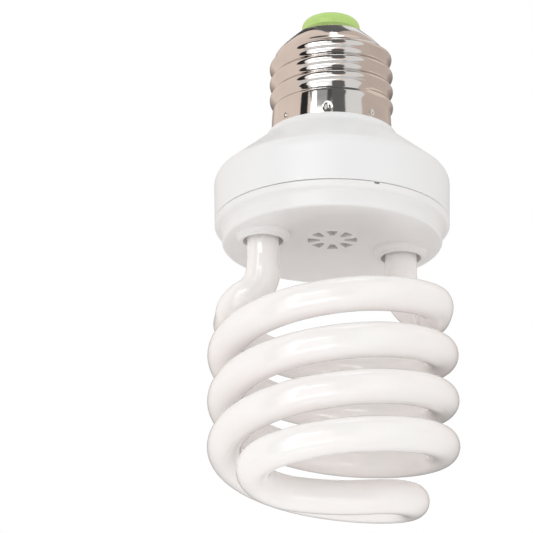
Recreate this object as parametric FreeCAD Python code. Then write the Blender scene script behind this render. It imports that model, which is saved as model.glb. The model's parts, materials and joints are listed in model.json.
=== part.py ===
import FreeCAD, Part
import math
import os
from FreeCAD import Vector

# Spiral energy saving bulb, millimetres and degrees.
# The origin is the centre of the contact's end face, +Z points out of the contact,
# and the lamp hangs below it: the screw cap on top, the glass spiral at the bottom.

# Screw cap, size E27
cap_length = 27.0
thread_diameter = 26.3
thread_pitch = 3.629
thread_depth = 0.97
thread_bead_radius = 1.5
thread_start_below_mouth = 6.0
thread_end_above_edge = 5.3
thread_end_angle = -90.0
thread_run_out = 90.0
shell_skirt_diameter = 25.5
shell_skirt_length = 5.3
shell_sheet = 0.35
shell_mouth_diameter = 12.6
shell_mouth_below_top = 3.3
shoulder_slope = 41.0
shoulder_diameter = 20.7
shoulder_corner_diameter = 23.2
shoulder_corner_slope = 50.0
stake_count = 8
stake_first_angle = -93.5
stake_above_edge = 1.15
stake_radius = 1.3
stake_depth = 0.42

# Contact and its insulating plug
contact_diameter = 6.8
contact_thickness = 0.3
contact_stem_diameter = 3.0
contact_stem_bore = 1.7
contact_stem_below_plug = 0.5
plug_edge_radius = 1.9
plug_flange_diameter = 17.2
plug_length = 8.0

# Upper housing
housing_diameter = 49.8
housing_draft = 0.15
housing_wall = 1.6
housing_ring_diameter = 27.6
housing_ring_height = 1.1
housing_ring_edge_radius = 0.4
housing_ring_root_radius = 1.6
seam_edge_radius = 0.2
housing_cone_height = 9.1
housing_skirt_height = 9.4
housing_shoulder_radius = 3.0
housing_neck_insert = 4.9
housing_neck_wall = 1.7
snap_groove_depth = 0.5
snap_groove_height = 1.5
snap_below_board = 2.2
snap_count = 4
snap_first_angle = 45.0
snap_width_angle = 18.0

# Lower cover
seam_gap = 0.15
cover_rim_height = 1.5
cover_step = 1.6
cover_step_radius = 0.75
cover_depth = 5.0
cover_edge_radius = 0.6
cover_floor = 1.5
cover_hollow = 1.1
cover_hollow_inner_diameter = 14.0
cover_hollow_outer_diameter = 43.0
cover_hollow_radius = 20.0
cover_spigot_wall = 1.4
notch_angle = -68.0
notch_width = 1.2
notch_height = 0.5
notch_depth = 0.9
vent_count = 8
vent_outer_diameter = 10.4
vent_inner_diameter = 5.2
vent_outer_angle = 27.0
vent_inner_angle = 20.0
collar_bore = 8.5
collar_wall = 0.8
collar_height = 1.1
collar_foot = 0.6
collar_edge_radius = 0.25
socket_wall = 1.3
socket_height = 2.4

# Glass tube
tube_diameter = 7.2
leg_diameter = 6.7
leg_taper = 3.0
leg_radius = 15.4
leg_angle = 200.0
leg_straight_below_cover = 7.8
run_in_angle = 186.5
run_in_inset = 1.6
run_in_sag = 1.3
run_in_slope = 12.5
coil_radius = 22.5
coil_turn_drop = 9.98
coil_top_below_cover = 19.8
coil_start_angle = 155.5
coil_end_angle = -480.5
coil_step = 80.0
link_bend_radius = 9.9
link_extra_drop = 4.0
link_bend_steps = 4
seal_width = 5.6
seal_thickness = 1.9
seal_height = 4.4
seal_below_board = 1.5

# Circuit board and the wires
board_above_seam = 5.6
board_thickness = 1.6
board_clearance = 0.7
lead_diameter = 0.5
lead_spacing = 2.6
lead_above_board = 1.4
lead_hole = 1.0
solder_diameter = 2.0
solder_height = 1.0
supply_wire_diameter = 1.2
supply_wire_bend = 3.0
supply_wire_rise = 7.0

# Running clearances
slip = 0.1
close_fit = 0.04
stand_off = 0.3

ORIGIN = Vector(0, 0, 0)
UP = Vector(0, 0, 1)

# Heights worked out from the sizes above
cap_edge = -cap_length
ring_top = cap_edge - slip
cone_top = ring_top - housing_ring_height
cone_foot = cone_top - housing_cone_height
seam = cone_foot - housing_skirt_height
cover_top = seam - seam_gap
rim_foot = cover_top - cover_rim_height
underside = cover_top - cover_depth
floor_top = underside + cover_hollow + cover_floor
board_bottom = seam + board_above_seam
board_top = board_bottom + board_thickness
leg_top = board_bottom - seal_below_board - seal_height
coil_top = underside - coil_top_below_cover

# Radii worked out from the sizes above
housing_radius = housing_diameter / 2
seam_radius = housing_radius - housing_draft
bore_radius = seam_radius - housing_wall
spigot_radius = bore_radius - 2 * slip
neck_radius = shell_skirt_diameter / 2 - shell_sheet - slip
neck_bore_radius = neck_radius - housing_neck_wall
board_radius = bore_radius - board_clearance
tube_radius = tube_diameter / 2
collar_radius = collar_bore / 2 + collar_wall


def rounded_edges(corners):
    """Edges of a closed outline in the XZ plane from (x, z, corner radius)."""
    points = [Vector(x, 0, z) for x, z, _ in corners]
    stops = []
    for i, (_, _, radius) in enumerate(corners):
        corner = points[i]
        if radius == 0:
            stops.append((corner, None, corner))
            continue
        back = (points[i - 1] - corner).normalize()
        ahead = (points[(i + 1) % len(points)] - corner).normalize()
        half = back.getAngle(ahead) / 2
        middle = (back + ahead).normalize()
        centre = corner + middle * (radius / math.sin(half))
        setback = radius / math.tan(half)
        stops.append((corner + back * setback, centre - middle * radius, corner + ahead * setback))
    edges = []
    for i, (start, through, end) in enumerate(stops):
        if through is not None:
            edges.append(Part.Arc(start, through, end).toShape())
        following = stops[(i + 1) % len(stops)][0]
        if (following - end).Length > 1e-6:
            edges.append(Part.LineSegment(end, following).toShape())
    return edges


def outline_face(corners):
    return Part.Face(Part.Wire(rounded_edges(corners)))


def turned(corners, angle=360.0):
    """Solid of revolution about the lamp's axis."""
    return outline_face(corners).revolve(ORIGIN, UP, angle)


def ring(outer, inner, bottom, top):
    return turned([(inner, bottom, 0), (outer, bottom, 0), (outer, top, 0), (inner, top, 0)])


def at(x, y, z=0.0):
    return Vector(x, y, z)


def polar(radius, angle, z=0.0):
    return Vector(radius * math.cos(math.radians(angle)), radius * math.sin(math.radians(angle)), z)


def placed(shape, position, angle=0.0):
    """The shape turned about Z through an angle, then moved to a position."""
    copy = shape.copy()
    copy.rotate(ORIGIN, UP, angle)
    copy.translate(position)
    return copy


def block(length, width, height, position):
    """Box centred on a point in plan and standing on it."""
    return Part.makeBox(length, width, height, position - Vector(length / 2, width / 2, 0))


def rod(radius, start, end):
    return Part.makeCylinder(radius, (end - start).Length, start, end - start)


# Round tubes along a chain of straight runs and tangent arcs

def arc_between(start, corner, end):
    """Arc that leaves start and reaches end tangent to the lines through the corner."""
    half = (end - start).Length / 2
    slant = math.acos(min(1.0, half / (corner - start).Length))
    middle = (start + end) * 0.5
    outward = (corner - middle).normalize()
    return Part.Arc(start, middle + outward * (half * math.tan(slant / 2)), end).toShape()


def biarc(start, start_dir, end, end_dir):
    """Two tangent arcs, or one line, between two points with given directions."""
    chord = end - start
    if chord.getAngle(start_dir) < 1e-6 and chord.getAngle(end_dir) < 1e-6:
        return [Part.LineSegment(start, end).toShape()]
    both = chord.dot(start_dir + end_dir)
    turn = 2 * (1 - start_dir.dot(end_dir))
    if turn > 1e-9:
        reach = (math.sqrt(both * both + turn * chord.dot(chord)) - both) / turn
    else:
        reach = chord.dot(chord) / (2 * both)
    first = start + start_dir * reach
    second = end - end_dir * reach
    joint = (first + second) * 0.5
    return [arc_between(start, first, joint), arc_between(joint, second, end)]


def chain(stations):
    """Edges through a list of (point, direction) stations."""
    edges = []
    for (start, start_dir), (end, end_dir) in zip(stations, stations[1:]):
        edges += biarc(start, start_dir, end, end_dir)
    return edges


def round_tube(edges, radius):
    """Solid round bar that follows the edges, one exact face for each edge."""
    first = edges[0]
    centre = first.valueAt(first.FirstParameter)
    section = Part.Circle(centre, first.tangentAt(first.FirstParameter), radius).toShape()
    caps = [Part.Face(Part.Wire(section))]
    sides = []
    for edge in edges:
        start = edge.valueAt(edge.FirstParameter)
        end = edge.valueAt(edge.LastParameter)
        if isinstance(edge.Curve, Part.Line):
            sides += section.extrude(end - start).Faces
            section = placed(section, end - start)
        else:
            centre = edge.Curve.Center
            axis = edge.Curve.Axis
            angle = math.degrees(edge.LastParameter - edge.FirstParameter)
            sides += section.revolve(centre, axis, angle).Faces
            section = section.copy()
            section.rotate(centre, axis, angle)
    caps.append(Part.Face(Part.Wire(section)))
    shell = Part.makeShell(sides + caps)
    shell.sewShape()
    solid = Part.Solid(shell)
    if solid.Volume < 0:
        solid.reverse()
    return solid


def bent_wire(points, radius, bend):
    """Wire through a list of points, with one bend radius at each inner point."""
    edges = []
    here = points[0]
    for i in range(1, len(points) - 1):
        back = (points[i - 1] - points[i]).normalize()
        ahead = (points[i + 1] - points[i]).normalize()
        setback = bend / math.tan(back.getAngle(ahead) / 2)
        start = points[i] + back * setback
        end = points[i] + ahead * setback
        edges.append(Part.LineSegment(here, start).toShape())
        edges.append(arc_between(start, points[i], end))
        here = end
    edges.append(Part.LineSegment(here, points[-1]).toShape())
    return round_tube(edges, radius)


# Screw cap

thread_radius = thread_diameter / 2
root_radius = thread_radius - thread_depth
shell_bore_radius = root_radius - shell_sheet
skirt_top = cap_edge + shell_skirt_length
mouth_radius = shell_mouth_diameter / 2
mouth_top = -shell_mouth_below_top
shoulder_radius = shoulder_diameter / 2
shoulder_drop = (shoulder_radius - mouth_radius) * math.tan(math.radians(shoulder_slope))
shoulder_foot = mouth_top - shoulder_drop
corner_radius = shoulder_corner_diameter / 2
corner_drop = (corner_radius - shoulder_radius) * math.tan(math.radians(shoulder_corner_slope))
thread_top = mouth_top - thread_start_below_mouth
thread_foot = cap_edge + thread_end_above_edge

# Corners of the shell's outline from mouth to edge, without the thread, and their radii
shell_line = [
    (mouth_radius, mouth_top),
    (shoulder_radius, shoulder_foot),
    (corner_radius, shoulder_foot - corner_drop),
    (root_radius, thread_top),
    (root_radius, skirt_top + thread_depth),
    (shell_skirt_diameter / 2, skirt_top),
    (shell_skirt_diameter / 2, cap_edge)]
shell_rounding = [0, 0.8, 0.8, 0.5, 0.6, 0.4, 0]


def parallel(points, distance):
    """The outline moved sideways by a distance, towards the axis and down."""
    sides = []
    for (x1, z1), (x2, z2) in zip(points, points[1:]):
        length = math.hypot(x2 - x1, z2 - z1)
        sides.append(((z2 - z1) / length, -(x2 - x1) / length))
    moved = []
    for i, (x, z) in enumerate(points):
        before = sides[max(i - 1, 0)]
        after = sides[min(i, len(sides) - 1)]
        shift = distance / (1 + before[0] * after[0] + before[1] * after[1])
        moved.append((x + shift * (before[0] + after[0]), z + shift * (before[1] + after[1])))
    return moved


def shell_outside():
    corners = [(x, z, radius) for (x, z), radius in zip(shell_line, shell_rounding)]
    return turned([(0, mouth_top, 0)] + corners + [(0, cap_edge, 0)])


def shell_inside():
    inner = parallel(shell_line, shell_sheet)
    above = mouth_top + 1
    below = cap_edge - 1
    start = [(0, above, 0), (inner[0][0], above, 0)]
    corners = [(x, z, 0) for x, z in inner[:-1]]
    end = [(inner[-1][0], below, 0), (0, below, 0)]
    return turned(start + corners + end)


def thread_bead():
    """Rolled thread: a round bead on a right-hand helix that sinks away at both ends."""
    bead_path = thread_radius - thread_bead_radius
    turns = (thread_top - thread_foot) / thread_pitch
    sweep = 360.0 * turns
    steps = math.ceil(sweep / 45.0)
    stations = []
    for i in range(steps + 1):
        angle = sweep * i / steps
        from_end = min(angle, sweep - angle)
        fade = max(0.0, 1.0 - from_end / thread_run_out)
        sink = thread_depth * fade * fade
        slope = 2 * thread_depth * fade / math.radians(thread_run_out)
        inward = slope if angle < sweep / 2 else -slope
        radius = bead_path - sink
        turned_by = math.radians(angle + thread_end_angle)
        z = thread_foot + thread_pitch * angle / 360.0
        out = Vector(math.cos(turned_by), math.sin(turned_by), 0)
        along = Vector(-out.y, out.x, 0)
        direction = along * radius + out * inward + UP * (thread_pitch / (2 * math.pi))
        stations.append((out * radius + UP * z, direction.normalize()))
    return round_tube(chain(stations), thread_bead_radius)


def stake_points():
    pitch = 360.0 / stake_count
    offset = shell_skirt_diameter / 2 + stake_radius - stake_depth
    return [polar(offset, stake_first_angle + pitch * i, cap_edge + stake_above_edge)
            for i in range(stake_count)]


def screw_shell():
    shell = shell_outside().fuse(thread_bead()).cut(shell_inside())
    bumps = [Part.makeSphere(stake_radius + shell_sheet, p) for p in stake_points()]
    inside_skirt = ring(shell_skirt_diameter / 2 - shell_sheet / 2, neck_radius - 1, cap_edge, skirt_top)
    pressed = Part.makeCompound(bumps).common(inside_skirt)
    pits = [Part.makeSphere(stake_radius, p) for p in stake_points()]
    return shell.fuse(pressed.Solids).cut(pits)


# Contact and plug

plug_top = -contact_thickness
plug_foot = plug_top - plug_length
plug_radius = mouth_radius - shell_sheet - slip


def contact_insulator():
    visible = mouth_radius - slip
    flange = plug_flange_diameter / 2
    slope = math.tan(math.radians(shoulder_slope))
    under_shell = (shell_sheet + slip) / math.cos(math.radians(shoulder_slope))
    stem = contact_stem_diameter / 2 + close_fit

    def below_cone(radius):
        return mouth_top - (radius - mouth_radius) * slope - under_shell

    return turned([
        (stem, plug_top, 0),
        (visible, plug_top, plug_edge_radius),
        (visible, mouth_top + slip, 0),
        (plug_radius, mouth_top + slip, 0),
        (plug_radius, below_cone(plug_radius), 0),
        (flange, below_cone(flange), 0),
        (flange, plug_foot, 0),
        (stem, plug_foot, 0)])


def centre_contact():
    stem_foot = plug_foot - contact_stem_below_plug
    stem = contact_stem_diameter / 2
    bore = contact_stem_bore / 2
    return turned([
        (0, 0, 0),
        (contact_diameter / 2, 0, contact_thickness / 2),
        (contact_diameter / 2, plug_top, 0),
        (stem, plug_top, 0),
        (stem, stem_foot, 0),
        (bore, stem_foot, 0),
        (bore, plug_top - contact_thickness, 0),
        (0, plug_top - contact_thickness, 0)])


# Upper housing

cone_run = housing_radius - housing_ring_diameter / 2
cone_length = math.hypot(cone_run, housing_cone_height)
snap_top = board_bottom - snap_below_board
snap_foot = snap_top - snap_groove_height


def cone_inside(radius):
    """Height of the cone's inner face at a radius."""
    inner_ring = housing_ring_diameter / 2 - housing_wall * housing_cone_height / cone_length
    inner_top = cone_top - housing_wall * cone_run / cone_length
    return inner_top - (radius - inner_ring) * housing_cone_height / cone_run


def upper_housing():
    ring_radius = housing_ring_diameter / 2
    groove = bore_radius + snap_groove_depth
    body = turned([
        (neck_radius, cap_edge + housing_neck_insert, 0),
        (neck_radius, ring_top, 0),
        (ring_radius, ring_top, housing_ring_edge_radius),
        (ring_radius, cone_top, housing_ring_root_radius),
        (housing_radius, cone_foot, housing_shoulder_radius),
        (seam_radius, seam, seam_edge_radius),
        (bore_radius, seam, 0),
        (bore_radius, snap_foot - slip, 0),
        (groove, snap_foot - slip, 0),
        (groove, snap_top + slip, 0),
        (bore_radius, snap_top + snap_groove_depth, 0),
        (bore_radius, cone_inside(bore_radius), housing_shoulder_radius - housing_wall),
        (neck_bore_radius, cone_inside(neck_bore_radius), 0),
        (neck_bore_radius, cap_edge + housing_neck_insert, 0)])
    pocket_radius = stake_radius + shell_sheet + slip
    pockets = Part.makeCompound([Part.makeSphere(pocket_radius, p) for p in stake_points()])
    inside_skirt = ring(neck_radius + slip, neck_bore_radius, ring_top, skirt_top)
    return body.cut(pockets.common(inside_skirt).Solids)


# Lower cover

def leg_places():
    return [polar(leg_radius, leg_angle), polar(leg_radius, leg_angle - 180)]


def vent_slot():
    """Wedge slot through the cover's floor, its wide end outward, along +X."""
    outer = vent_outer_diameter / 2
    inner = vent_inner_diameter / 2
    half_outer = vent_outer_angle / 2
    half_inner = vent_inner_angle / 2
    below = underside - 1
    far = Part.Arc(polar(outer, -half_outer), polar(outer, 0), polar(outer, half_outer)).toShape()
    near = Part.Arc(polar(inner, half_inner), polar(inner, 0), polar(inner, -half_inner)).toShape()
    left = Part.LineSegment(polar(outer, half_outer), polar(inner, half_inner)).toShape()
    right = Part.LineSegment(polar(inner, -half_inner), polar(outer, -half_outer)).toShape()
    face = Part.Face(Part.Wire([far, left, near, right]))
    return placed(face.extrude(UP * (floor_top + 1 - below)), UP * below)


def snap_hook():
    """Segment of a ring that catches in the housing's groove."""
    reach = bore_radius + snap_groove_depth - slip
    hook = turned([
        (spigot_radius - cover_spigot_wall / 2, snap_foot, 0),
        (reach, snap_foot, 0),
        (reach, snap_foot + snap_groove_height / 3, 0),
        (spigot_radius, snap_top, 0),
        (spigot_radius - cover_spigot_wall / 2, snap_top, 0)], snap_width_angle)
    return placed(hook, ORIGIN, -snap_width_angle / 2)


def cover_dish():
    spigot_bore = spigot_radius - cover_spigot_wall
    stepped = seam_radius - cover_step
    return turned([
        (0, underside + cover_hollow, 0),
        (cover_hollow_inner_diameter / 2, underside + cover_hollow, cover_hollow_radius),
        (cover_hollow_outer_diameter / 2, underside, cover_hollow_radius),
        (stepped, underside, cover_edge_radius),
        (stepped, rim_foot, cover_step_radius),
        (seam_radius, rim_foot, cover_step_radius),
        (seam_radius, cover_top, seam_edge_radius),
        (spigot_radius, cover_top, 0),
        (spigot_radius, board_bottom, 0),
        (spigot_bore, board_bottom, 0),
        (spigot_bore, floor_top, 0),
        (0, floor_top, 0)])


def leg_collar():
    """Short collar outside and taller socket inside, round one leg."""
    foot = collar_radius + collar_foot
    socket = collar_bore / 2 + socket_wall
    return turned([
        (0, underside - collar_height, 0),
        (collar_radius, underside - collar_height, collar_edge_radius),
        (collar_radius, underside - collar_foot, 0),
        (foot, underside, 0),
        (foot, floor_top - cover_floor / 2, 0),
        (socket, floor_top - cover_floor / 2, 0),
        (socket, floor_top + socket_height, 0),
        (0, floor_top + socket_height, 0)])


def lower_cover():
    cover = cover_dish()
    cover = cover.fuse([placed(leg_collar(), p) for p in leg_places()])
    snaps = [placed(snap_hook(), ORIGIN, snap_first_angle + i * 360.0 / snap_count)
             for i in range(snap_count)]
    cover = cover.fuse(snaps)
    bore_foot = underside - collar_height - 1
    bore_height = floor_top + socket_height + 1 - bore_foot
    bore = Part.makeCylinder(collar_bore / 2, bore_height)
    bores = [placed(bore, p + UP * bore_foot) for p in leg_places()]
    slots = [placed(vent_slot(), ORIGIN, i * 360.0 / vent_count) for i in range(vent_count)]
    notch_place = Vector(seam_radius, 0, cover_top - notch_height)
    notch = placed(block(notch_depth * 2, notch_width, notch_height * 2, notch_place), ORIGIN, notch_angle)
    return cover.cut(bores + slots + [notch]).removeSplitter()


# Glass tube: one double helix, the second arm is the first turned half round

def coil_height(angle):
    return coil_top - coil_turn_drop * (90.0 - angle) / 180.0


def coil_station(angle):
    """Point and direction on the first arm, going down clockwise seen from above."""
    place = polar(coil_radius, angle, coil_height(angle))
    along = polar(coil_radius, angle - 90, -coil_turn_drop / math.pi)
    return place, along.normalize()


def run_in_station():
    """Where the leg's bend meets the coil's run, a little inside and below it."""
    place = polar(coil_radius - run_in_inset, run_in_angle, coil_height(run_in_angle) - run_in_sag)
    return place, polar(1, run_in_angle - 90, -math.tan(math.radians(run_in_slope))).normalize()


def link_stations():
    """From the arm's end a tight bend inward, then straight through the axis."""
    centre_radius = coil_radius - link_bend_radius
    lead_in = math.degrees(math.asin(link_bend_radius / centre_radius))
    bend = 90.0 + lead_in
    bend_length = link_bend_radius * math.radians(bend)
    run = math.sqrt(centre_radius ** 2 - link_bend_radius ** 2)
    total = bend_length + run
    top = coil_height(coil_end_angle)
    start_slope = -coil_turn_drop / (math.pi * coil_radius)

    def descent(length):
        u = length / total
        fall = -link_extra_drop * (3 * u ** 2 - 2 * u ** 3)
        fall += start_slope * total * (u - 2 * u ** 2 + u ** 3)
        slope = -link_extra_drop * (6 * u - 6 * u ** 2) / total
        slope += start_slope * (1 - 4 * u + 3 * u ** 2)
        return top + fall, slope

    centre = polar(centre_radius, coil_end_angle)
    stations = []
    for i in range(1, link_bend_steps + 1):
        share = i / link_bend_steps
        angle = coil_end_angle - bend * share
        z, slope = descent(bend_length * share)
        direction = polar(1, angle - 90, slope)
        stations.append((centre + polar(link_bend_radius, angle, z), direction.normalize()))
    last = stations[-1][0]
    z, _ = descent(total)
    stations.append((Vector(0, 0, z), Vector(-last.x, -last.y, 0).normalize()))
    return stations


def tube_stations():
    leg_foot = polar(leg_radius, leg_angle, underside - leg_straight_below_cover)
    half = [(leg_foot, Vector(0, 0, -1)), run_in_station()]
    steps = round((coil_start_angle - coil_end_angle) / coil_step)
    for i in range(steps + 1):
        angle = coil_start_angle + (coil_end_angle - coil_start_angle) * i / steps
        half.append(coil_station(angle))
    half += link_stations()
    other = [(Vector(-p.x, -p.y, p.z), Vector(d.x, d.y, -d.z)) for p, d in reversed(half[:-1])]
    return half + other


def tube_leg():
    """Straight leg from the bend up: a taper, the drawn part, its dome and the flat pinch."""
    foot = underside - leg_straight_below_cover
    radius = leg_diameter / 2
    leg = turned([
        (0, foot, 0),
        (tube_radius, foot, 0),
        (radius, foot + leg_taper, 0),
        (radius, leg_top, 0),
        (0, leg_top, 0)])
    dome = Part.makeSphere(radius, UP * leg_top, UP, 0, 90, 360)
    pinch = block(seal_width, seal_thickness, seal_height, UP * leg_top)
    return leg.fuse([dome, pinch])


def glass_tube():
    tube = round_tube(chain(tube_stations()), tube_radius)
    legs = [placed(tube_leg(), p, leg_angle) for p in leg_places()]
    return tube.fuse(legs).removeSplitter()


def tube_cement(place):
    bottom = underside + cover_floor / 2
    top = floor_top + socket_height - stand_off
    return placed(ring(collar_bore / 2 - close_fit, leg_diameter / 2 + close_fit, bottom, top), place)


# Circuit board

def lead_places():
    """Where the four electrode leads pass the board, two above each leg."""
    half = lead_spacing / 2
    return [polar(leg_radius + side, leg_angle - turn) for turn in (0, 180) for side in (-half, half)]


def circuit_board():
    disc = Part.makeCylinder(board_radius, board_thickness, UP * board_bottom)
    holes = [Part.makeCylinder(lead_hole / 2, board_thickness + 2, p + UP * (board_bottom - 1))
             for p in lead_places()]
    return disc.cut(holes)


def electrode_leads():
    bottom = leg_top + seal_height
    top = board_top + lead_above_board
    return [rod(lead_diameter / 2, p + UP * bottom, p + UP * top) for p in lead_places()]


def lead_solder():
    joint = turned([
        (lead_diameter / 2 + close_fit, 0, 0),
        (solder_diameter / 2, 0, 0),
        (lead_diameter / 2 + 3 * close_fit, solder_height, 0),
        (lead_diameter / 2 + close_fit, solder_height, 0)])
    return [placed(joint, p + UP * board_top) for p in lead_places()]


# Ballast parts, laid out by the line through the two legs

can_diameter = 10.0
can_height = 20.0
can_crimp = 0.4
can_crimp_height = 2.6
can_top_radius = 0.6
can_from_neck = 0.5
choke_off_axis = 7.0
choke_width = 12.4
choke_depth = 6.0
choke_height = 8.4
choke_yoke = 1.6
choke_side_leg = 1.5
choke_centre_leg = 3.2
bobbin_wall = 0.5
bobbin_flange = 0.6
bobbin_overhang = 2.6
winding_margin = 0.3
winding_corner = 1.2
pin_radius = 0.35
pin_length = 1.0
blocking_length = 8.6
blocking_width = 3.8
blocking_height = 5.4
resonant_length = 8.2
resonant_width = 3.2
resonant_height = 4.8
film_corner = 0.8
transistor_radius = 2.3
transistor_height = 4.6
transistor_flat = 1.4
transistor_pitch = 1.27
axial_lead_radius = 0.28
axial_lead_bend = 0.5
axial_lead_reach = 0.9
diode_diameter = 2.6
diode_length = 4.8
diode_angles = (14, 26, 38, 50)
resistor_diameter = 2.2
resistor_length = 4.8
resistor_angles = (118, 129, 140, 151)
fusible_diameter = 3.2
fusible_length = 7.0
diac_diameter = 1.9
diac_length = 3.6
toroid_outer = 7.6
toroid_bore = 4.2
toroid_height = 2.6
toroid_turn_width = 2.0
toroid_turn_build = 0.35
toroid_winding_angles = (60, 180, 300)
drum_diameter = 6.8
drum_height = 5.0
drum_flange = 0.8
drum_winding_inset = 0.4
supply_wire_from_neck = 2.2
supply_wire_off_axis = neck_bore_radius - supply_wire_from_neck
supply_wire_angle = 17.4

# Places on the board: share of its radius and, for a single part, angle from the legs' line
diode_share = 0.78
resistor_share = 0.78
blocking_place = (0.686, 95)
resonant_place = (0.73, -90)
toroid_place = (0.74, -40)
inductor_place = (0.68, -155)
transistor_upper_place = (0.655, 67)
transistor_lower_place = (0.655, -17)
fusible_place = (0.8, -122)
diac_place = (0.8, -66)


def on_board(shape, radius, angle, twist=0.0):
    """Stand a part on the board at an angle from the legs' line, twisted from its radius."""
    legs = leg_angle - 180
    return placed(shape, polar(radius, legs + angle, board_top), legs + angle + twist)


def along_edge(shape, share, angle):
    """The part's length lies along the board's edge, at a share of the board's radius."""
    return on_board(shape, board_radius * share, angle, 90)


def across_edge(shape, share, angle):
    """The part's length points to the board's edge."""
    return on_board(shape, board_radius * share, angle)


def choke_place(shape):
    return on_board(shape, choke_off_axis, -90, 90)


def choke_window():
    return (choke_width - 2 * choke_side_leg - choke_centre_leg) / 2, choke_height - 2 * choke_yoke


def choke_core():
    window_width, window_height = choke_window()
    core = block(choke_width, choke_depth, choke_height, UP * slip)
    offset = (choke_centre_leg + window_width) / 2
    windows = [block(window_width, choke_depth + 2, window_height, at(side * offset, 0, slip + choke_yoke))
               for side in (-1, 1)]
    return choke_place(core.cut(windows))


def choke_bobbin():
    window_width, window_height = choke_window()
    base = UP * (slip + choke_yoke + close_fit)
    height = window_height - 2 * close_fit
    inner_x = choke_centre_leg + 2 * slip
    inner_y = choke_depth + 2 * slip
    outer_x = inner_x + 2 * bobbin_wall
    outer_y = inner_y + 2 * bobbin_wall
    flange_x = choke_centre_leg + 2 * window_width - 2 * slip
    flange_y = choke_depth + 2 * bobbin_overhang
    bobbin = block(outer_x, outer_y, height, base)
    for z in (0, height - bobbin_flange):
        bobbin = bobbin.fuse(block(flange_x, flange_y, bobbin_flange, base + UP * z))
    bobbin = bobbin.cut(block(inner_x, inner_y, height + 2, base - UP))
    pin_x = flange_x / 2 - 2 * pin_radius
    pin_y = flange_y / 2 - 2 * pin_radius
    pins = [rod(pin_radius, at(x, y), at(x, y) + base + UP * (bobbin_flange / 2))
            for x in (-pin_x, pin_x) for y in (-pin_y, pin_y)]
    return choke_place(bobbin.fuse(pins))


def choke_winding():
    window_width, window_height = choke_window()
    base = UP * (slip + choke_yoke + bobbin_flange + 2 * close_fit)
    height = window_height - 4 * close_fit - 2 * bobbin_flange
    inner_x = choke_centre_leg + 2 * slip + 2 * bobbin_wall + 2 * close_fit
    inner_y = choke_depth + 2 * slip + 2 * bobbin_wall + 2 * close_fit
    outer_x = choke_centre_leg + 2 * window_width - 2 * winding_margin
    outer_y = choke_depth + 2 * bobbin_overhang - 2 * winding_margin
    winding = block(outer_x, outer_y, height, base)
    upright = [e for e in winding.Edges if abs(e.tangentAt(e.FirstParameter).z) > 0.9]
    winding = winding.makeFillet(winding_corner, upright)
    return choke_place(winding.cut(block(inner_x, inner_y, height + 2, base - UP)))


def smoothing_capacitor():
    """Electrolytic can on two leads, with the crimped ring near its foot, up in the neck."""
    radius = can_diameter / 2
    can = turned([
        (0, stand_off, 0),
        (radius, stand_off, 0),
        (radius, can_crimp_height - can_crimp, 0),
        (radius - can_crimp, can_crimp_height, 0),
        (radius, can_crimp_height + can_crimp, 0),
        (radius, can_height, can_top_radius),
        (0, can_height, 0)])
    leads = [rod(pin_radius, at(x, 0), at(x, 0, pin_length)) for x in (-radius / 2, radius / 2)]
    return on_board(can.fuse(leads), neck_bore_radius - can_from_neck - radius, 90, 90)


def film_capacitor(length, width, height):
    """Dipped film capacitor on two leads."""
    body = block(length, width, height, UP * stand_off)
    body = body.makeFillet(film_corner, [e for e in body.Edges if e.BoundBox.ZMax > stand_off + slip])
    leads = [rod(pin_radius, at(x, 0), at(x, 0, pin_length)) for x in (-length / 3, length / 3)]
    return body.fuse(leads)


def transistor():
    """Small plastic transistor: a round case with one flat side, on three legs."""
    foot = transistor_height / 3
    case = Part.makeCylinder(transistor_radius, transistor_height, UP * foot)
    side = 2 * transistor_radius
    case = case.cut(block(side + 1, side, side + 1, at(0, -transistor_flat - side / 2, foot - 0.5)))
    legs = [rod(pin_radius / 2, at(x, 0), at(x, 0, foot + pin_length))
            for x in (-transistor_pitch, 0, transistor_pitch)]
    return case.fuse(legs)


def axial_part(diameter, length):
    """Lying resistor or diode, its two leads bent down to the board."""
    height = diameter / 2 + stand_off
    body = Part.makeCylinder(diameter / 2, length, at(-length / 2, 0, height), Vector(1, 0, 0))
    foot = length / 2 + axial_lead_reach
    leads = [bent_wire([at(side * length / 4, 0, height), at(side * foot, 0, height), at(side * foot, 0)],
                       axial_lead_radius, axial_lead_bend) for side in (-1, 1)]
    return body.fuse(leads)


def feedback_toroid():
    base = slip + toroid_turn_build
    return across_edge(ring(toroid_outer / 2, toroid_bore / 2, base, base + toroid_height), *toroid_place)


def toroid_windings():
    """Three short windings round the toroid's section."""
    build = toroid_turn_build
    top = slip + toroid_height + 2 * build
    outside = ring(toroid_outer / 2 + build, toroid_bore / 2 - build, slip, top)
    hollow = ring(toroid_outer / 2 + close_fit, toroid_bore / 2 - close_fit,
                  slip + build - close_fit, top - build + close_fit)
    sector = block(toroid_outer, toroid_turn_width, top + 2, at(toroid_outer / 2, 0, -1))
    band = outside.cut(hollow).common(sector)
    return [across_edge(placed(band, ORIGIN, angle), *toroid_place) for angle in toroid_winding_angles]


def input_inductor():
    """Drum core with its winding between the flanges."""
    radius = drum_diameter / 2
    winding = radius - drum_winding_inset
    drum = turned([
        (0, stand_off, 0),
        (radius, stand_off, 0),
        (radius, stand_off + drum_flange, 0),
        (winding, stand_off + drum_flange, 0),
        (winding, drum_height - drum_flange, 0),
        (radius, drum_height - drum_flange, 0),
        (radius, drum_height, 0),
        (0, drum_height, 0)])
    leads = [rod(pin_radius, at(x, 0), at(x, 0, pin_length)) for x in (-radius / 2, radius / 2)]
    return along_edge(drum.fuse(leads), *inductor_place)


def rectifier_diodes():
    return [across_edge(axial_part(diode_diameter, diode_length), diode_share, angle)
            for angle in diode_angles]


def ballast_resistors():
    return [across_edge(axial_part(resistor_diameter, resistor_length), resistor_share, angle)
            for angle in resistor_angles]


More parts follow.
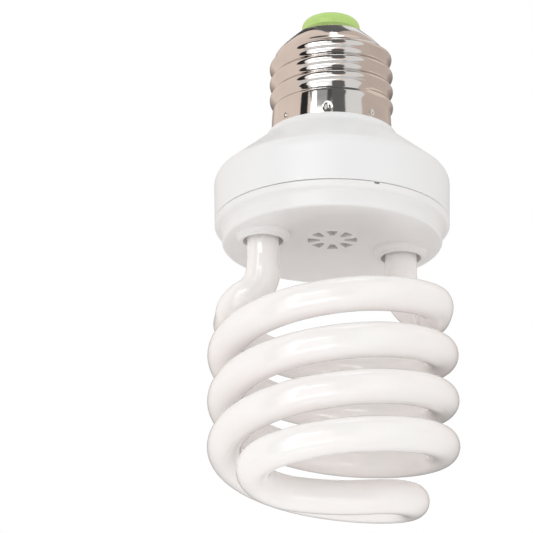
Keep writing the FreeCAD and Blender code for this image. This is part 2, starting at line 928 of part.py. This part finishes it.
def blocking_capacitor():
    return along_edge(film_capacitor(blocking_length, blocking_width, blocking_height), *blocking_place)


def resonant_capacitor():
    return along_edge(film_capacitor(resonant_length, resonant_width, resonant_height), *resonant_place)


# Supply wires

def supply_place(side):
    """Where a wire leaves the board, beside the choke and within the neck."""
    turn = supply_wire_angle if side < 0 else 180 - supply_wire_angle
    return polar(supply_wire_off_axis, leg_angle + turn, board_top)


def contact_wire():
    """From the board up through the neck to the foot of the contact's stem."""
    stem_foot = plug_foot - contact_stem_below_plug
    start = supply_place(-1)
    bend = at(start.x, start.y, stem_foot - 2 * supply_wire_rise)
    points = [start, bend, UP * (stem_foot - supply_wire_rise), UP * (stem_foot - close_fit)]
    return bent_wire(points, supply_wire_diameter / 2, supply_wire_bend)


def shell_wire():
    """From the board up past the neck, then out to the wall of the screw shell."""
    start = supply_place(1)
    reach = shell_bore_radius - close_fit
    top = skirt_top + 2 * supply_wire_diameter
    outward = Vector(start.x, start.y, 0).normalize()
    points = [start, at(start.x, start.y, top), outward * reach + UP * top]
    return bent_wire(points, supply_wire_diameter / 2, supply_wire_diameter)


def export(name, pieces):
    shape = Part.makeCompound(pieces) if isinstance(pieces, list) else pieces
    for solid in shape.Solids:
        if not solid.isValid():
            raise ValueError(name + " is not a valid solid")
    if shape.ShapeType == "Compound" and len(shape.Solids) == 1:
        shape = shape.Solids[0]
    shape.exportStep("parts/" + name + ".step")
    print(name, len(shape.Solids), round(shape.Volume, 1))


def build():
    left, right = leg_places()
    return {
        "screw_shell": screw_shell(),
        "contact_insulator": contact_insulator(),
        "centre_contact": centre_contact(),
        "upper_housing": upper_housing(),
        "lower_cover": lower_cover(),
        "glass_tube": glass_tube(),
        "tube_cement_left": tube_cement(left),
        "tube_cement_right": tube_cement(right),
        "circuit_board": circuit_board(),
        "electrode_leads": electrode_leads(),
        "lead_solder_joints": lead_solder(),
        "choke_core": choke_core(),
        "choke_bobbin": choke_bobbin(),
        "choke_winding": choke_winding(),
        "smoothing_capacitor": smoothing_capacitor(),
        "blocking_capacitor": blocking_capacitor(),
        "resonant_capacitor": resonant_capacitor(),
        "feedback_toroid": feedback_toroid(),
        "toroid_windings": toroid_windings(),
        "transistor_upper": along_edge(transistor(), *transistor_upper_place),
        "transistor_lower": along_edge(transistor(), *transistor_lower_place),
        "rectifier_diodes": rectifier_diodes(),
        "fusible_resistor": along_edge(axial_part(fusible_diameter, fusible_length), *fusible_place),
        "input_inductor": input_inductor(),
        "ballast_resistors": ballast_resistors(),
        "diac": across_edge(axial_part(diac_diameter, diac_length), *diac_place),
        "contact_wire": contact_wire(),
        "shell_wire": shell_wire(),
    }


os.makedirs("parts", exist_ok=True)
for node_name, node_shape in build().items():
    export(node_name, node_shape)
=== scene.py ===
import json
import math
import bpy
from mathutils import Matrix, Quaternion, Vector

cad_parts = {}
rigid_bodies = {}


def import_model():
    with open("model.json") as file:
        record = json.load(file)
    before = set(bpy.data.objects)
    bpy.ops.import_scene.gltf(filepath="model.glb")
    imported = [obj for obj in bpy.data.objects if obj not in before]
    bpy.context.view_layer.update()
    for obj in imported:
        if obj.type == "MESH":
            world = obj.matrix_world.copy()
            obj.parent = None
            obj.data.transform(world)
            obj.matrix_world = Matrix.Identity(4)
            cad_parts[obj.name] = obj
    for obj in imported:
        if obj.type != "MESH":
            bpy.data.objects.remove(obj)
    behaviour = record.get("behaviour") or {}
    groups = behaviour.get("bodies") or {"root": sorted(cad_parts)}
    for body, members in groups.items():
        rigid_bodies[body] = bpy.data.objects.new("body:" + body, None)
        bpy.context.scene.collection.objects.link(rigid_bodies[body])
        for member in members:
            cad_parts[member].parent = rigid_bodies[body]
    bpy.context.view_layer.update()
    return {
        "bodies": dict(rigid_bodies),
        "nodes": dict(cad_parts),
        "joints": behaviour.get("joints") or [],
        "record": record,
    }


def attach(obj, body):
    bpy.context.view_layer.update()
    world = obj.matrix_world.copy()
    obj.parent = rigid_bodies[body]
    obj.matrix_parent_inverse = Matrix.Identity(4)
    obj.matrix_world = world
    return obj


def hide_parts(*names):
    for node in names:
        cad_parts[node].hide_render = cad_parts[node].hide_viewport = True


# A spiral energy saving bulb that hangs by its screw cap, seen a little from below.
# Lengths are in metres and angles in degrees, in the lamp's own frame: the origin is
# the centre of the contact's end face and +Z points out of the contact.

# Where the photograph was taken from
PHOTO_SIDE_PIXELS = 533
CAMERA_DISTANCE = 0.800
CAMERA_LOOKS_UP = 20.58
CAMERA_ROLL = 0.35
SENSOR_MILLIMETRES = 36.0
AIM_HEIGHT = -0.060
AIM_PIXEL = (332.5, 281.4)
PIXELS_PER_METRE = 4775.6
CLIP_START = 0.01
CLIP_END = 20.0

# The floor, out of the camera's view
FLOOR_HEIGHT = -0.62
FLOOR_RADIUS = 3.0
FLOOR_CORNERS = 96

# Azimuth 0 is the camera's side and 90 is the lamp's +X side.
# Soft lamps, which aim at the middle of the spiral:
# azimuth, elevation, distance, width, height, watts
LAMP_AIM = Vector((0.0, 0.0, -0.070))
LAMPS = {
    "key_box": (-25, 30, 0.60, 0.30, 0.30, 0.10),
    "low_fill": (-12, -55, 0.50, 0.50, 0.50, 0.42),
}

# Soft light from all round, a little stronger from the front and the left
AMBIENT = 0.93
AMBIENT_LEAN = (-0.04, -0.04, 0.0)

# The studio that polished metal and clear glass mirror. Its bare walls have a warm tint
# and darken straight behind the lamp. High up behind the lamp, its patches are narrower.
STUDIO_TONE = 0.95
WALL_TINT = (1.0, 0.84, 0.75)
WHITE = (1.0, 1.0, 1.0)
BEHIND_FROM = 0.72
BEHIND_TONE = 0.10
OVERHEAD_FROM = 0.50
OVERHEAD_SQUEEZE = 3.6
PATCH_SQUARENESS = 4.0

# The studio's screens and flags, each laid over those before it:
# azimuth, elevation, half width, half height, edge softness, tone
DIM_WALL = (95, 10, 60, 85, 0.5, 0.70)
SCREENS = (
    (-20, -29, 27, 60, 0.1, 1.30),  # tall white screen low on the left
    (-20, 50, 27, 24, 0.1, 0.10),   # dark gap over it
    (45, 0, 17, 88, 0.3, 0.95),     # white screen on the right
    (-24, 20, 17, 4, 0.1, 5.0),     # upper strip lamp
    (-12, -39, 24, 4, 0.1, 5.0),    # lower strip lamp
    (-34, 5, 5, 30, 0.2, 3.0),      # upright strip lamp
    (-55, 10, 8, 55, 0.3, 0.03),    # black flag on the left
    (14, 45, 13, 65, 0.3, 0.16),    # dark flag between the screens
    (8, 66, 72, 11, 0.3, 0.15),     # dark beam over the screens
    (40, 81, 60, 5, 0.3, 2.5),      # lamp panel overhead
    (-10, -62, 60, 7, 0.3, 0.15),   # dark edge of the floor
)

# Screw shell, rolled from sheet
CAP_LENGTH = 0.0270
MOUTH_RADIUS = 0.0063
MOUTH_HEIGHT = -0.0032
SHOULDER_RADIUS = 0.01035
CONE_SLOPE = 41.0
SHOULDER_SLOPE = 51.0
THREAD_RADIUS = 0.01315
THREAD_DEPTH = 0.00097
THREAD_PITCH = 0.003629
THREAD_TOP = -0.0093
THREAD_FOOT = -0.0217
THREAD_FOOT_ANGLE = -90.0
THREAD_RUN_OUT = 90.0
SKIRT_RADIUS = 0.01275
FLARE_HEIGHT = 0.0010
SKIRT_TAPER = 0.00022
SHELL_SHEET = 0.00035
SHELL_ROUNDING = 0.0004
STAKES = 8
FIRST_STAKE_ANGLE = -93.5
STAKE_ABOVE_EDGE = 0.00135
STAKE_HALF_WIDTH = 0.0009
STAKE_HALF_HEIGHT = 0.0013
STAKE_DEPTH = 0.00045
STAKE_POINTEDNESS = 0.6
SHELL_ROWS = 150
SHELL_COLUMNS = 288
SHELL_SHARP_ANGLE = 50.0

# Most values of the noise texture lie between these two
NOISE_LOW = 0.3
NOISE_HIGH = 0.7

# Detail of the noise in blotches and in grain, and the strength of the grain's bumps
BLOTCH_DETAIL = 2.0
GRAIN_DETAIL = 3.0
GRAIN_STRENGTH = 0.5


# Node helpers

def shader_of(material):
    return material.node_tree.nodes["Principled BSDF"]


def noise(tree, feature, detail):
    """Noise whose blotches are about one feature length across."""
    place = tree.nodes.new("ShaderNodeTexCoord")
    texture = tree.nodes.new("ShaderNodeTexNoise")
    texture.inputs["Scale"].default_value = 1.0 / feature
    texture.inputs["Detail"].default_value = detail
    tree.links.new(place.outputs["Object"], texture.inputs["Vector"])
    return texture.outputs["Fac"]


def map_range(tree, value, from_low, from_high, to_low, to_high):
    """A value carried over from one range to another, and held inside it."""
    node = tree.nodes.new("ShaderNodeMapRange")
    node.inputs["From Min"].default_value = from_low
    node.inputs["From Max"].default_value = from_high
    node.inputs["To Min"].default_value = to_low
    node.inputs["To Max"].default_value = to_high
    tree.links.new(value, node.inputs["Value"])
    return node.outputs["Result"]


def spread(tree, factor, low, high):
    """Noise spread over the whole range from low to high."""
    return map_range(tree, factor, NOISE_LOW, NOISE_HIGH, low, high)


def blend_colours(tree, factor, first, second):
    """The first colour where the factor is 0 and the second where it is 1."""
    node = tree.nodes.new("ShaderNodeMix")
    node.data_type = "RGBA"
    for socket, colour in (("A", first), ("B", second)):
        slot = [s for s in node.inputs if s.name == socket and s.type == "RGBA"][0]
        slot.default_value = (*colour, 1.0)
    tree.links.new(factor, [s for s in node.inputs if s.name == "Factor" and s.type == "VALUE"][0])
    return [s for s in node.outputs if s.type == "RGBA"][0]


def roughen(tree, shader, height, depth):
    """Bumps of a depth, in metres, from a texture."""
    bump = tree.nodes.new("ShaderNodeBump")
    bump.inputs["Strength"].default_value = GRAIN_STRENGTH
    bump.inputs["Distance"].default_value = depth
    tree.links.new(height, bump.inputs["Height"])
    tree.links.new(bump.outputs["Normal"], shader.inputs["Normal"])


def finish_of(name, colours, roughness, grain, depth, metallic=0.0, blotch=0.004):
    """A finish with blotches of two close colours, uneven gloss and a fine grain.

    Roughness is its lowest and highest; grain, depth and blotch are lengths.
    """
    material = bpy.data.materials.new(name)
    material.use_nodes = True
    tree = material.node_tree
    shader = shader_of(material)
    patches = spread(tree, noise(tree, blotch, BLOTCH_DETAIL), 0.0, 1.0)
    tree.links.new(blend_colours(tree, patches, *colours), shader.inputs["Base Color"])
    uneven = spread(tree, noise(tree, blotch / 2, GRAIN_DETAIL), *roughness)
    tree.links.new(uneven, shader.inputs["Roughness"])
    roughen(tree, shader, noise(tree, grain, GRAIN_DETAIL), depth)
    shader.inputs["Metallic"].default_value = metallic
    return material


# The rolled screw shell, a finer form of the solid one

def eased(share):
    """0 at 0 and below, 1 at 1 and above, with a smooth rise between."""
    share = min(1.0, max(0.0, share))
    return share * share * (3.0 - 2.0 * share)


def lower_of(first, second):
    """The lower of two lengths, rounded where they cross."""
    return (first + second - math.hypot(first - second, SHELL_ROUNDING)) / 2


def plain_radius(z):
    """Outside of the shell without its thread: cone, shoulder, root of the thread, skirt."""
    root = THREAD_RADIUS - THREAD_DEPTH
    cone = MOUTH_RADIUS + (MOUTH_HEIGHT - z) / math.tan(math.radians(CONE_SLOPE))
    cone_drop = (SHOULDER_RADIUS - MOUTH_RADIUS) * math.tan(math.radians(CONE_SLOPE))
    shoulder_height = MOUTH_HEIGHT - cone_drop
    shoulder = SHOULDER_RADIUS + (shoulder_height - z) / math.tan(math.radians(SHOULDER_SLOPE))
    down_flare = (THREAD_FOOT + FLARE_HEIGHT - z) / FLARE_HEIGHT
    flare = (SKIRT_RADIUS - SKIRT_TAPER - root) * eased(down_flare)
    down_skirt = min(1.0, max(0.0, (THREAD_FOOT - z) / (CAP_LENGTH + THREAD_FOOT)))
    taper = SKIRT_TAPER * (1.0 - (1.0 - down_skirt) ** 2)
    return lower_of(lower_of(cone, shoulder), root) + flare + taper


def thread_wave(offset):
    """Height above the root at a distance from a crest: two equal arcs, crest and root."""
    quarter = THREAD_PITCH / 4
    arc = (quarter * quarter * 4 / THREAD_DEPTH + THREAD_DEPTH) / 4
    if abs(offset) < quarter:
        return THREAD_DEPTH - arc + math.sqrt(arc * arc - offset * offset)
    past = THREAD_PITCH / 2 - abs(offset)
    return arc - math.sqrt(arc * arc - past * past)


def shell_radius(angle, z):
    """Outside of the shell with its thread, which fades in and out at its two ends."""
    plain = plain_radius(z)
    turn = (z - THREAD_FOOT) / THREAD_PITCH - (angle - THREAD_FOOT_ANGLE) / 360
    crest = round(turn)
    along = angle - THREAD_FOOT_ANGLE + 360 * crest
    end = 360 * (THREAD_TOP - THREAD_FOOT) / THREAD_PITCH
    fade = eased(min(along, end - along) / THREAD_RUN_OUT)
    rise = THREAD_RADIUS - plain
    return plain + rise * fade * thread_wave((turn - crest) * THREAD_PITCH) / THREAD_DEPTH


def stake_dent(angle, z):
    """Depth of the pear-shaped punch marks that hold the shell on the housing's neck."""
    pitch = 360 / STAKES
    aside = (angle - FIRST_STAKE_ANGLE + pitch / 2) % pitch - pitch / 2
    across = math.radians(aside) * SKIRT_RADIUS / STAKE_HALF_WIDTH
    up = (z + CAP_LENGTH - STAKE_ABOVE_EDGE) / STAKE_HALF_HEIGHT
    across *= 1.0 + STAKE_POINTEDNESS * max(0.0, up)
    return STAKE_DEPTH * eased(1.0 - math.hypot(across, up))


def shell_points():
    """Rings of points down the outer skin and back up the inner one."""
    points = []
    for skin in (0.0, SHELL_SHEET):
        for row in range(SHELL_ROWS):
            share = row / (SHELL_ROWS - 1)
            down = share if skin == 0 else 1 - share
            z = MOUTH_HEIGHT + (-CAP_LENGTH - MOUTH_HEIGHT) * down
            for column in range(SHELL_COLUMNS):
                angle = 360 * column / SHELL_COLUMNS
                radius = shell_radius(angle, z) - stake_dent(angle, z) - skin
                a = math.radians(angle)
                points.append((radius * math.cos(a), radius * math.sin(a), z))
    return points


def shell_faces():
    """Faces between each ring and the next; the last ring joins the first."""
    rings = 2 * SHELL_ROWS
    faces = []
    for ring in range(rings):
        below = (ring + 1) % rings
        for column in range(SHELL_COLUMNS):
            beside = (column + 1) % SHELL_COLUMNS
            faces.append((ring * SHELL_COLUMNS + column, below * SHELL_COLUMNS + column,
                          below * SHELL_COLUMNS + beside, ring * SHELL_COLUMNS + beside))
    return faces


def rolled_shell():
    """The shell's two skins, joined at its two cut edges."""
    mesh = bpy.data.meshes.new("rolled_shell")
    mesh.from_pydata(shell_points(), [], shell_faces())
    mesh.shade_smooth()
    mesh.set_sharp_from_angle(angle=math.radians(SHELL_SHARP_ANGLE))
    shell = bpy.data.objects.new("rolled_shell", mesh)
    bpy.context.scene.collection.objects.link(shell)
    mesh.materials.append(nickel())
    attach(shell, "root")
    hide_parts("screw_shell")


# Finishes that show

def nickel():
    """Bright nickel on rolled sheet: faint rolling waves, and gloss that differs a little."""
    colours = ((0.64, 0.62, 0.60), (0.68, 0.66, 0.64))
    return finish_of("nickel", colours, (0.05, 0.10), grain=0.0030, depth=0.00002, metallic=1.0)


def green_plastic():
    """Moulded plug of the contact, satin."""
    colours = ((0.50, 0.73, 0.21), (0.55, 0.77, 0.26))
    return finish_of("green_plastic", colours, (0.30, 0.42), grain=0.0004, depth=0.00002)


def white_plastic(name, colours):
    """Moulded white plastic: satin, with a spark-eroded grain and a trace of flow."""
    material = finish_of(name, colours, (0.30, 0.44), grain=0.00025, depth=0.000012, blotch=0.010)
    shader_of(material).inputs["Specular IOR Level"].default_value = 0.45
    return material


def phosphor_glass():
    """Clear glass over a milky phosphor coat, which is a little uneven along the tube."""
    colours = ((0.936, 0.880, 0.866), (0.942, 0.902, 0.882))
    material = finish_of("phosphor_glass", colours, (0.40, 0.55),
                         grain=0.0016, depth=0.00001, blotch=0.012)
    shader = shader_of(material)
    shader.inputs["Specular IOR Level"].default_value = 0.2
    shader.inputs["Subsurface Weight"].default_value = 1.0
    shader.inputs["Subsurface Radius"].default_value = (1.0, 1.0, 1.0)
    shader.inputs["Subsurface Scale"].default_value = 0.003
    shader.inputs["Coat Weight"].default_value = 1.0
    shader.inputs["Coat Roughness"].default_value = 0.03
    shader.inputs["Coat IOR"].default_value = 1.6
    return material


def contact_metal():
    """Tinned contact disc: dull, with a fine grain."""
    colours = ((0.60, 0.58, 0.55), (0.70, 0.68, 0.64))
    return finish_of("contact_metal", colours, (0.24, 0.30),
                     grain=0.0006, depth=0.00003, metallic=1.0)


# Finishes inside the housing: nodes, two colours, lowest and highest roughness,
# length of the grain, metallic
INNER = {
    "cement": (
        ("tube_cement_left", "tube_cement_right"),
        (0.84, 0.81, 0.78), (0.89, 0.87, 0.84), (0.6, 0.8), 0.0005, 0.0),
    "board": (
        ("circuit_board",),
        (0.24, 0.15, 0.07), (0.32, 0.21, 0.10), (0.45, 0.6), 0.0004, 0.0),
    "tinned_wire": (
        ("electrode_leads",),
        (0.52, 0.52, 0.50), (0.66, 0.66, 0.64), (0.2, 0.35), 0.0003, 1.0),
    "solder": (
        ("lead_solder_joints",),
        (0.50, 0.51, 0.52), (0.66, 0.67, 0.68), (0.18, 0.34), 0.0004, 1.0),
    "ferrite": (
        ("choke_core", "feedback_toroid"),
        (0.035, 0.035, 0.038), (0.055, 0.055, 0.058), (0.5, 0.7), 0.0003, 0.0),
    "bobbin": (
        ("choke_bobbin",),
        (0.018, 0.018, 0.018), (0.030, 0.030, 0.030), (0.35, 0.5), 0.0004, 0.0),
    "tape": (
        ("choke_winding",),
        (0.62, 0.48, 0.06), (0.72, 0.57, 0.10), (0.25, 0.4), 0.0006, 0.0),
    "sleeve": (
        ("smoothing_capacitor",),
        (0.012, 0.014, 0.022), (0.022, 0.025, 0.038), (0.2, 0.32), 0.0008, 0.0),
    "red_dip": (
        ("blocking_capacitor",),
        (0.30, 0.035, 0.02), (0.38, 0.05, 0.03), (0.18, 0.3), 0.0010, 0.0),
    "green_dip": (
        ("resonant_capacitor",),
        (0.02, 0.11, 0.05), (0.03, 0.15, 0.07), (0.18, 0.3), 0.0010, 0.0),
    "enamelled_wire": (
        ("toroid_windings",),
        (0.42, 0.16, 0.05), (0.52, 0.21, 0.07), (0.2, 0.35), 0.0004, 1.0),
    "black_epoxy": (
        ("transistor_upper", "transistor_lower", "rectifier_diodes"),
        (0.015, 0.015, 0.016), (0.028, 0.028, 0.030), (0.4, 0.55), 0.0003, 0.0),
    "resistor_grey": (
        ("fusible_resistor",),
        (0.16, 0.19, 0.17), (0.20, 0.24, 0.21), (0.5, 0.65), 0.0003, 0.0),
    "inductor_sleeve": (
        ("input_inductor",),
        (0.020, 0.020, 0.024), (0.032, 0.032, 0.036), (0.2, 0.34), 0.0008, 0.0),
    "resistor_beige": (
        ("ballast_resistors",),
        (0.52, 0.40, 0.24), (0.60, 0.47, 0.29), (0.3, 0.45), 0.0004, 0.0),
    "diac_blue": (
        ("diac",),
        (0.02, 0.09, 0.26), (0.03, 0.12, 0.32), (0.2, 0.34), 0.0006, 0.0),
    "red_insulation": (
        ("contact_wire",),
        (0.38, 0.02, 0.02), (0.46, 0.03, 0.03), (0.4, 0.55), 0.0005, 0.0),
    "white_insulation": (
        ("shell_wire",),
        (0.68, 0.67, 0.63), (0.76, 0.75, 0.71), (0.4, 0.55), 0.0005, 0.0),
}
INNER_BLOTCH = 0.003
INNER_GRAIN_DEPTH_SHARE = 0.1


def dress(frame, material, *names):
    """Put a material on all faces of the named solid parts."""
    for name in names:
        for slot in frame["nodes"][name].material_slots:
            slot.material = material


def dress_all(frame):
    dress(frame, green_plastic(), "contact_insulator")
    dress(frame, contact_metal(), "centre_contact")
    cool_white = ((0.865, 0.865, 0.865), (0.88, 0.88, 0.88))
    dress(frame, white_plastic("white_housing", cool_white), "upper_housing")
    warm_white = ((0.865, 0.855, 0.85), (0.88, 0.87, 0.865))
    dress(frame, white_plastic("white_cover", warm_white), "lower_cover")
    dress(frame, phosphor_glass(), "glass_tube")
    for name, (nodes, first, second, roughness, grain, metallic) in INNER.items():
        material = finish_of(name, (first, second), roughness, grain,
                             grain * INNER_GRAIN_DEPTH_SHARE, metallic, INNER_BLOTCH)
        dress(frame, material, *nodes)


# Stage

def toward(azimuth, elevation):
    """Direction from the lamp at an azimuth round from the camera's side and an elevation."""
    a, e = math.radians(azimuth), math.radians(elevation)
    return Vector((math.sin(a) * math.cos(e), -math.cos(a) * math.cos(e), math.sin(e)))


def make_camera():
    """Camera at the photograph's place, turned so that the aim point falls on its pixel."""
    focal_pixels = PIXELS_PER_METRE * CAMERA_DISTANCE
    middle = PHOTO_SIDE_PIXELS / 2
    sight = -toward(0, -CAMERA_LOOKS_UP)
    roll = Quaternion((0, 0, 1), -math.radians(CAMERA_ROLL))
    turn_left = Quaternion((0, 1, 0), math.atan((AIM_PIXEL[0] - middle) / focal_pixels))
    turn_up = Quaternion((1, 0, 0), math.atan((AIM_PIXEL[1] - middle) / focal_pixels))
    data = bpy.data.cameras.new("camera")
    data.sensor_width = SENSOR_MILLIMETRES
    data.lens = SENSOR_MILLIMETRES * focal_pixels / PHOTO_SIDE_PIXELS
    data.clip_start = CLIP_START
    data.clip_end = CLIP_END
    camera = bpy.data.objects.new("camera", data)
    camera.location = Vector((0, 0, AIM_HEIGHT)) - sight * CAMERA_DISTANCE
    camera.rotation_mode = "QUATERNION"
    camera.rotation_quaternion = sight.to_track_quat("-Z", "Y") @ roll @ turn_left @ turn_up
    bpy.context.scene.collection.objects.link(camera)
    bpy.context.scene.camera = camera


def soft_lamp(name, azimuth, elevation, distance, width, height, power):
    """Rectangular soft lamp that aims at the spiral."""
    data = bpy.data.lights.new(name, "AREA")
    data.shape = "RECTANGLE"
    data.size = width
    data.size_y = height
    data.energy = power
    lamp = bpy.data.objects.new(name, data)
    direction = toward(azimuth, elevation)
    lamp.location = LAMP_AIM + direction * distance
    lamp.rotation_mode = "QUATERNION"
    lamp.rotation_quaternion = (-direction).to_track_quat("-Z", "Y")
    bpy.context.scene.collection.objects.link(lamp)


def make_floor():
    """Matt white floor far below, which mirrors see through to the studio."""
    bpy.ops.mesh.primitive_circle_add(vertices=FLOOR_CORNERS, radius=FLOOR_RADIUS,
                                      fill_type="NGON", location=(0, 0, FLOOR_HEIGHT))
    floor = bpy.context.object
    floor.name = "floor"
    colours = ((0.89, 0.89, 0.89), (0.91, 0.91, 0.91))
    material = finish_of("floor", colours, (0.6, 0.7), grain=0.002, depth=0.0001, blotch=0.05)
    tree = material.node_tree
    path = tree.nodes.new("ShaderNodeLightPath")
    clear = tree.nodes.new("ShaderNodeBsdfTransparent")
    either = tree.nodes.new("ShaderNodeMixShader")
    tree.links.new(path.outputs["Is Glossy Ray"], either.inputs[0])
    tree.links.new(shader_of(material).outputs[0], either.inputs[1])
    tree.links.new(clear.outputs[0], either.inputs[2])
    tree.links.new(either.outputs[0], tree.nodes["Material Output"].inputs["Surface"])
    floor.data.materials.append(material)


def math_node(tree, operation, *values):
    """The result of one sum; each value is a number or another node's output."""
    node = tree.nodes.new("ShaderNodeMath")
    node.operation = operation
    for socket, value in zip(node.inputs, values):
        if isinstance(value, bpy.types.NodeSocket):
            tree.links.new(value, socket)
        else:
            socket.default_value = value
    return node.outputs[0]


def mixed(tree, factor, first, second):
    """The first value where the factor is 0 and the second where it is 1."""
    node = tree.nodes.new("ShaderNodeMix")
    tree.links.new(factor, node.inputs["Factor"])
    for socket, value in (("A", first), ("B", second)):
        if isinstance(value, bpy.types.NodeSocket):
            tree.links.new(value, node.inputs[socket])
        else:
            node.inputs[socket].default_value = value
    return node.outputs["Result"]


def bulge(tree, angle, middle, half):
    """0 in the middle of a patch and 1 at its edge, with a flat middle and a steep edge."""
    share = math_node(tree, "DIVIDE", math_node(tree, "SUBTRACT", angle, middle), half)
    return math_node(tree, "POWER", math_node(tree, "ABSOLUTE", share), PATCH_SQUARENESS)


def patch_of_sky(tree, azimuth, elevation, middle_azimuth, middle_elevation,
                 half_width, half_height, soft):
    """1 inside a soft-edged patch of directions, a rounded rectangle, and 0 outside it."""
    across = bulge(tree, azimuth, middle_azimuth, half_width)
    up = bulge(tree, elevation, middle_elevation, half_height)
    return map_range(tree, math_node(tree, "ADD", across, up), 1.0 + soft, 1.0 - soft, 0.0, 1.0)


def leaning_light(tree, place):
    """Soft light from all round, a little stronger from one side."""
    lean = tree.nodes.new("ShaderNodeVectorMath")
    lean.operation = "DOT_PRODUCT"
    lean.inputs[1].default_value = AMBIENT_LEAN
    tree.links.new(place, lean.inputs[0])
    return math_node(tree, "ADD", lean.outputs["Value"], AMBIENT)


def studio_azimuth(tree, x, y, z):
    """Azimuth in degrees. High up behind the lamp, it is counted from the back and squeezed."""
    front = math_node(tree, "ARCTAN2", x, math_node(tree, "MULTIPLY", y, -1.0))
    back = math_node(tree, "MULTIPLY", math_node(tree, "ARCTAN2", x, y), OVERHEAD_SQUEEZE)
    is_behind = math_node(tree, "GREATER_THAN", y, 0.0)
    is_high = math_node(tree, "GREATER_THAN", z, OVERHEAD_FROM)
    overhead = math_node(tree, "MULTIPLY", is_behind, is_high)
    return math_node(tree, "DEGREES", mixed(tree, overhead, front, back))


def mirrored_studio(tree, place):
    """Tone of the studio in a mirror, and 1 where a screen covers the bare wall."""
    split = tree.nodes.new("ShaderNodeSeparateXYZ")
    tree.links.new(place, split.inputs[0])
    x, y, z = split.outputs
    azimuth = studio_azimuth(tree, x, y, z)
    elevation = math_node(tree, "DEGREES", math_node(tree, "ARCSINE", z))
    *dim_patch, dim_tone = DIM_WALL
    inside = patch_of_sky(tree, azimuth, elevation, *dim_patch)
    mirrored = mixed(tree, inside, STUDIO_TONE, dim_tone)
    covered = 0.0
    for *patch, screen_tone in SCREENS:
        inside = patch_of_sky(tree, azimuth, elevation, *patch)
        mirrored = mixed(tree, inside, mirrored, screen_tone)
        covered = math_node(tree, "MAXIMUM", inside, covered)

    behind = map_range(tree, y, BEHIND_FROM, 1.0, 1.0, BEHIND_TONE)
    return math_node(tree, "MULTIPLY", mirrored, behind), covered


def make_world():
    """White where it is seen straight, a studio where it is mirrored, and soft light elsewhere."""
    world = bpy.data.worlds.new("studio")
    world.use_nodes = True
    bpy.context.scene.world = world
    tree = world.node_tree
    background = tree.nodes["Background"]
    place = tree.nodes.new("ShaderNodeTexCoord").outputs["Generated"]
    ambient = leaning_light(tree, place)
    mirrored, covered = mirrored_studio(tree, place)

    path = tree.nodes.new("ShaderNodeLightPath")
    tone = mixed(tree, path.outputs["Is Glossy Ray"], ambient, mirrored)
    seen = math_node(tree, "MAXIMUM", path.outputs["Is Camera Ray"],
                     path.outputs["Is Transmission Ray"])
    bare_wall = math_node(tree, "SUBTRACT", path.outputs["Is Glossy Ray"], covered)
    tree.links.new(blend_colours(tree, bare_wall, WHITE, WALL_TINT), background.inputs["Color"])
    tree.links.new(mixed(tree, seen, tone, 1.0), background.inputs["Strength"])


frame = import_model()
dress_all(frame)
rolled_shell()
make_camera()
for name, sizes in LAMPS.items():
    soft_lamp(name, *sizes)
make_floor()
make_world()
bpy.context.scene.view_settings.view_transform = "Standard"
